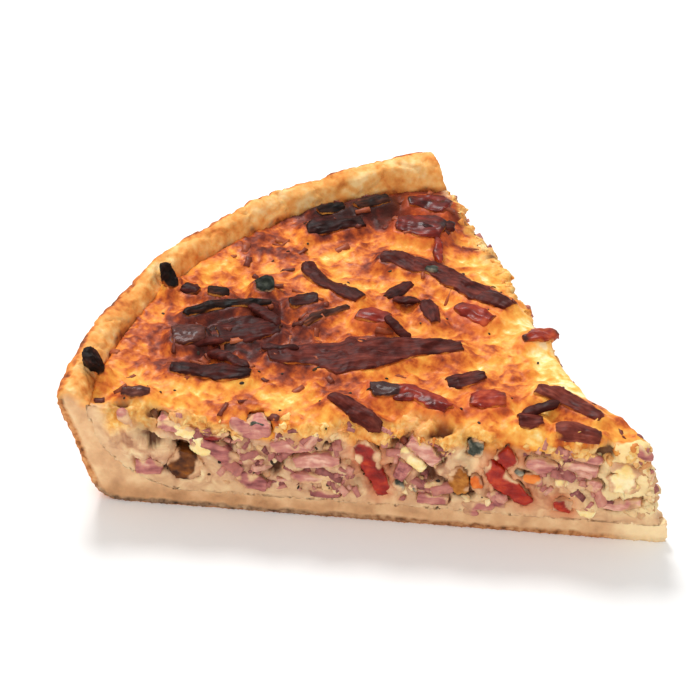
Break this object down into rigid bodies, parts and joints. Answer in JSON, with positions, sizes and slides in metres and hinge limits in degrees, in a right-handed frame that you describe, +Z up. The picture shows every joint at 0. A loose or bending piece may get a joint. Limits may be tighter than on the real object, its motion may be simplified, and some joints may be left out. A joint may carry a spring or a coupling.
{
  "type": "slice of ham quiche",
  "caption": "Wedge-shaped slice of ham quiche with a shortcrust rim and base, a baked custard filling, ham strips and red pepper on top and in the cut side.",
  "frame": {"origin": "on the underside, below the middle of the slice's outline", "axes": "+Z up; +X from the rim towards the tip; the cut side that shows its layers faces -Y"},
  "size_m": [0.139, 0.1372, 0.0345],
  "materials": {
    "pastry": "baked shortcrust, matt and lightly browned",
    "custard": "baked egg custard, satin with browned patches",
    "ham": "cured ham strips, dried by baking",
    "pepper": "roast red pepper, moist and glossy",
    "charred_ham": "burnt edges, dull and brittle",
    "browned_onion": "browned onion, smooth and slightly glossy",
    "dark_herb": "wilted dark herb, dull",
    "mushroom": "cooked mushroom, satin",
    "carrot": "cooked carrot, moist",
    "cheese": "melted pale cheese, satin"
  },
  "bodies": {
    "root": {"carrot_cut_1": "carrot", "charred_top_1": "charred_ham", "charred_top_2": "charred_ham", "charred_top_3": "charred_ham", "charred_top_4": "charred_ham", "charred_top_5": "charred_ham", "charred_top_6": "charred_ham", "charred_top_7": "charred_ham", "cheese_cut_1": "cheese", "crust": "pastry", "filling": "custard", "ham_cut_1": "ham", "ham_cut_10": "ham", "ham_cut_11": "ham", "ham_cut_12": "ham", "ham_cut_13": "ham", "ham_cut_14": "ham", "ham_cut_15": "ham", "ham_cut_16": "ham", "ham_cut_2": "ham", "ham_cut_3": "ham", "ham_cut_4": "ham", "ham_cut_5": "ham", "ham_cut_6": "ham", "ham_cut_7": "ham", "ham_cut_8": "ham", "ham_cut_9": "ham", "ham_top_1": "ham", "ham_top_10": "ham", "ham_top_11": "ham", "ham_top_12": "ham", "ham_top_13": "ham", "ham_top_14": "ham", "ham_top_15": "ham", "ham_top_2": "ham", "ham_top_3": "ham", "ham_top_4": "ham", "ham_top_5": "ham", "ham_top_6": "ham", "ham_top_7": "ham", "ham_top_8": "ham", "ham_top_9": "ham", "herb_cut_1": "dark_herb", "herb_top_1": "dark_herb", "mushroom_cut_1": "mushroom", "mushroom_cut_2": "mushroom", "onion_top_1": "browned_onion", "onion_top_2": "browned_onion", "pepper_cut_1": "pepper", "pepper_cut_2": "pepper", "pepper_cut_3": "pepper", "pepper_cut_4": "pepper", "pepper_top_1": "pepper", "pepper_top_2": "pepper", "pepper_top_3": "pepper", "pepper_top_4": "pepper", "pepper_top_5": "pepper", "pepper_top_6": "pepper", "pepper_top_7": "pepper"}
  },
  "joints": []
}
